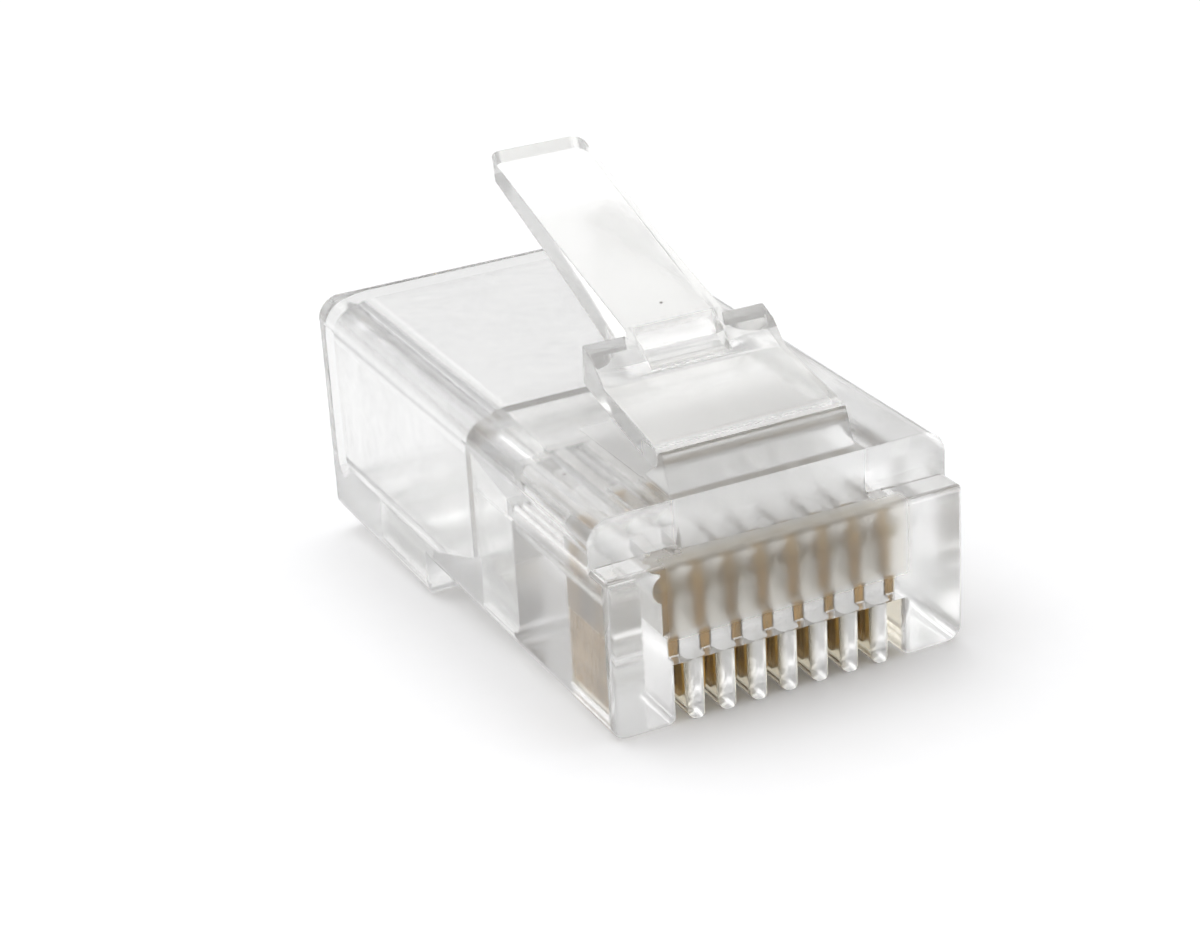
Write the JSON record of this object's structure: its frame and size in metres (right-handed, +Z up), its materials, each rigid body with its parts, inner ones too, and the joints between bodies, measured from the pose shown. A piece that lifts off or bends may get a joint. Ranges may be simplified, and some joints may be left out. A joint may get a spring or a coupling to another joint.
{
  "type": "rj45 modular plug",
  "caption": "Clear modular data plug with gold-plated contacts, a springy locking latch on top and an open cable end with clamping bars below.",
  "frame": {"origin": "bottom centre of the whole plug's box, at the level of the cable end's underside", "axes": "+Y from the contact nose towards the cable end, +Z up towards the latch, +X to the right seen from the nose"},
  "size_m": [0.0116, 0.0214, 0.0137],
  "materials": {
    "clear_polycarbonate": "clear, glossy, as moulded",
    "gold_plated_contact": "bright gold plate"
  },
  "bodies": {
    "plug": {"housing": "clear_polycarbonate", "contact_1": "gold_plated_contact", "contact_2": "gold_plated_contact", "contact_3": "gold_plated_contact", "contact_4": "gold_plated_contact", "contact_5": "gold_plated_contact", "contact_6": "gold_plated_contact", "contact_7": "gold_plated_contact", "contact_8": "gold_plated_contact"},
    "latch": {"latch_lever": "clear_polycarbonate"},
    "jacket_clamp": {"jacket_anchor": "clear_polycarbonate"},
    "wire_clamp": {"wire_anchor": "clear_polycarbonate"}
  },
  "joints": [
    {"name": "latch_bend", "type": "hinge", "parent": "plug", "child": "latch", "pos_m": [0, -0.0083, 0.00867], "axis": [-1, 0, 0], "range_deg": [0, 16], "stiffness_Nm_per_rad": 0.2},
    {"name": "jacket_anchor_bend", "type": "hinge", "parent": "plug", "child": "jacket_clamp", "pos_m": [0, 0.00365, 0.0005], "axis": [1, 0, 0], "range_deg": [0, 30]},
    {"name": "wire_anchor_bend", "type": "hinge", "parent": "plug", "child": "wire_clamp", "pos_m": [0, -0.00315, 0.0018], "axis": [1, 0, 0], "range_deg": [0, 25]}
  ]
}
